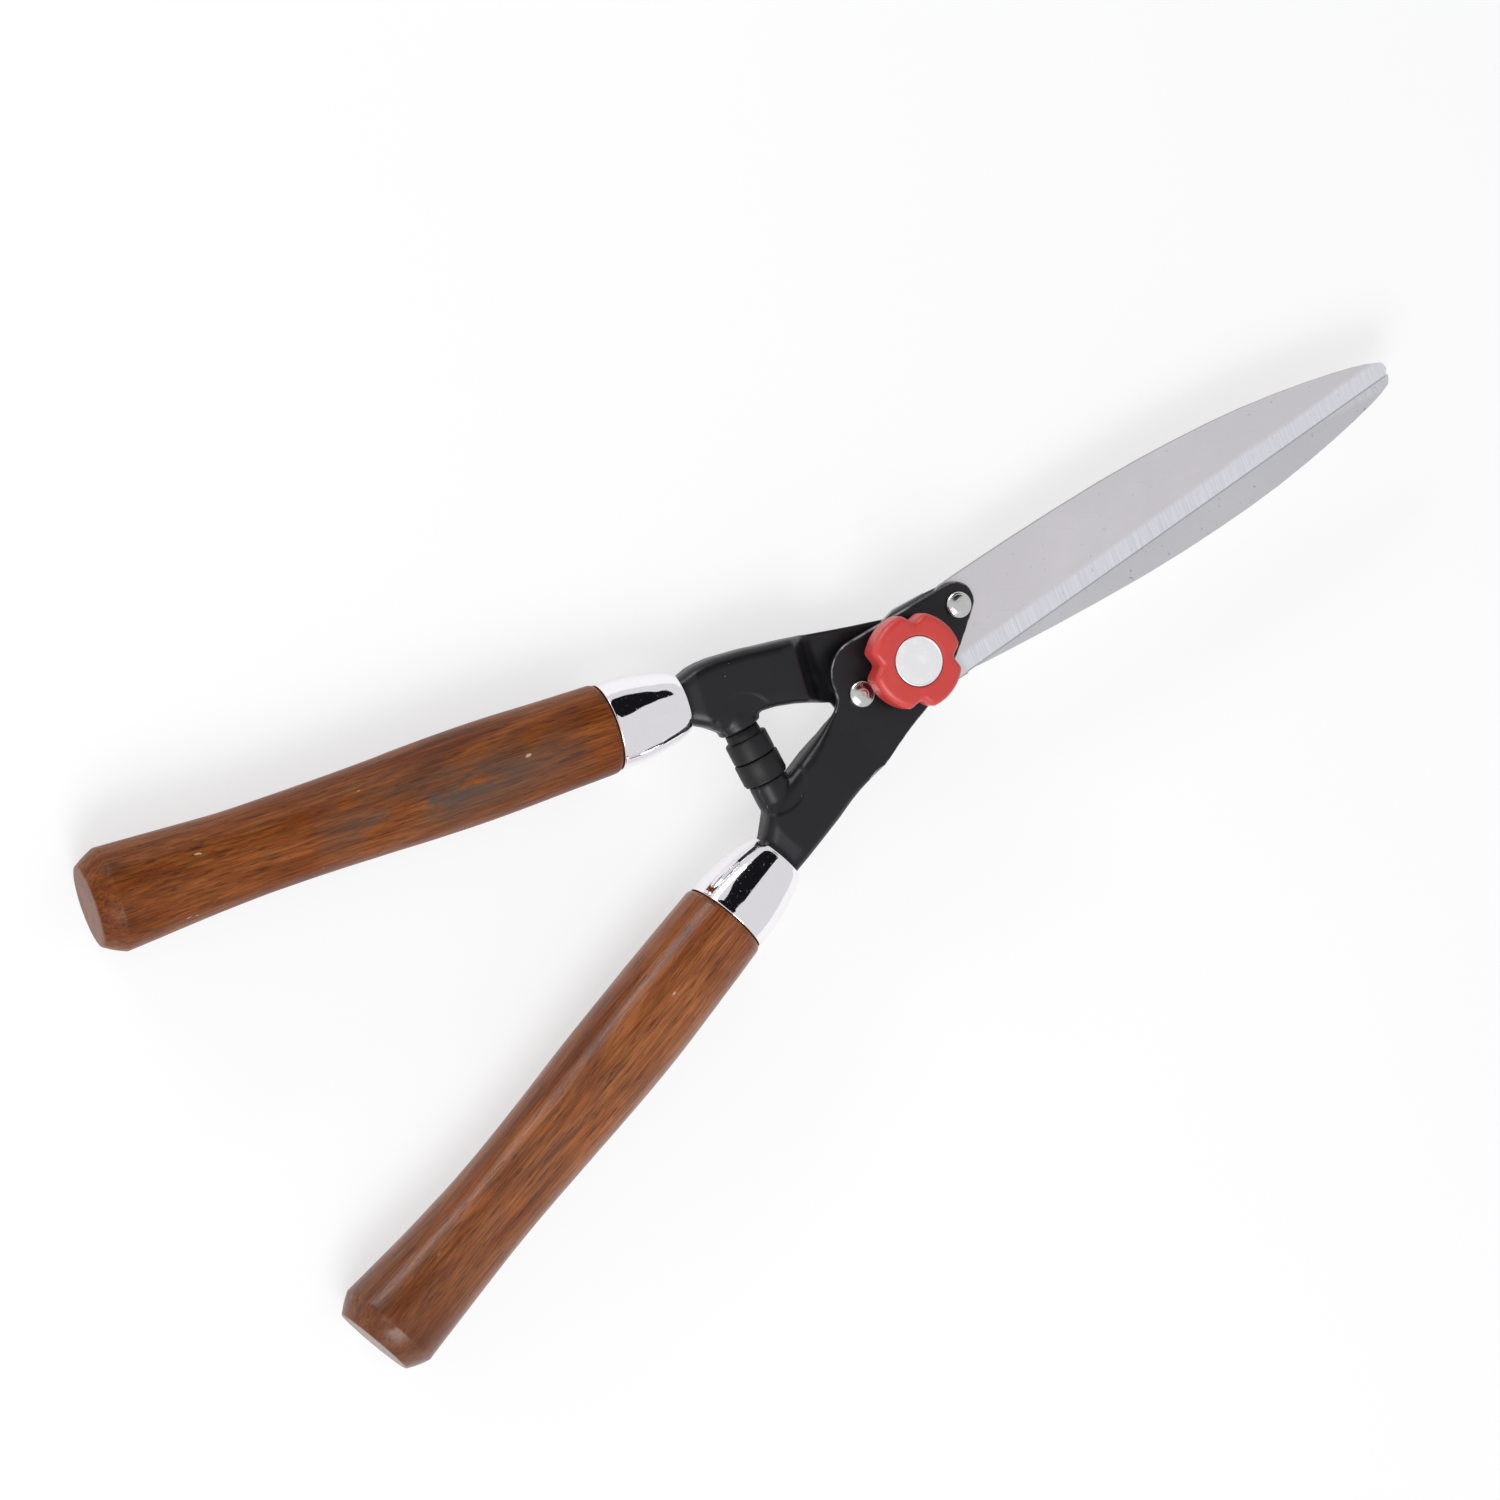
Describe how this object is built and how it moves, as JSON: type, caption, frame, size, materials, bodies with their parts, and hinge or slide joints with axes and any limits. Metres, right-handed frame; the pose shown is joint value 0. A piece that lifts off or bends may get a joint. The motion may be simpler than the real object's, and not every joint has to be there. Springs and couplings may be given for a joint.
{
  "type": "hedge shears",
  "caption": "Hand shears with long straight blades, black pressed arms with rubber stops, chromed ferrules, turned wooden handles and a red pivot knob",
  "frame": {"origin": "Centre of the pivot bolt head's flat underside, on the pivot axis", "axes": "+X along the closed blades to their tips, +Z along the pivot axis from the bolt head to the knob, +Y to the side of the rear lever's handle"},
  "size_m": [0.5465, 0.2239, 0.0418],
  "materials": {
    "blade_steel": "satin ground steel with a brighter bevel, fine scratches",
    "black_paint": "satin black paint with small bare spots on the edges",
    "rivet_steel": "bright steel, domed",
    "chrome": "bright chrome plate",
    "varnished_wood": "reddish brown varnished hardwood, satin, grain along the handle",
    "black_rubber": "matt black rubber",
    "red_plastic": "moulded red plastic, semi-gloss",
    "silver_cap": "satin silver cap",
    "zinc_steel": "zinc plated steel"
  },
  "bodies": {
    "rear_lever": {"rear_blade": "blade_steel", "rear_arm": "black_paint", "rear_rivet_tip": "rivet_steel", "rear_rivet_rear": "rivet_steel", "rear_ferrule": "chrome", "rear_handle": "varnished_wood", "rear_bumper": "black_rubber", "pivot_bolt": "zinc_steel", "thrust_washer": "zinc_steel"},
    "front_lever": {"front_blade": "blade_steel", "front_arm": "black_paint", "front_rivet_tip": "rivet_steel", "front_rivet_rear": "rivet_steel", "front_ferrule": "chrome", "front_handle": "varnished_wood", "front_bumper": "black_rubber"},
    "tension_spring": {"wave_washer": "zinc_steel"},
    "knob": {"knob_body": "red_plastic", "knob_nut": "zinc_steel", "knob_cap": "silver_cap"}
  },
  "joints": [
    {"name": "main_pivot", "type": "hinge", "parent": "rear_lever", "child": "front_lever", "pos_m": [0, 0, 0.01105], "axis": [0, 0, 1], "range_deg": [0, 70]},
    {"name": "knob_lift", "type": "slide", "parent": "rear_lever", "child": "tension_spring", "axis": [0, 0, 1], "range_m": [0, 0.00125], "deforming": ["wave_washer"]},
    {"name": "knob_turn", "type": "hinge", "parent": "tension_spring", "child": "knob", "pos_m": [0, 0, 0.021], "axis": [0, 0, 1], "range_deg": [0, 360]}
  ],
  "couplings": [
    {"joint": "knob_turn", "follows": "knob_lift", "rad_per_m": 5026.5}
  ]
}
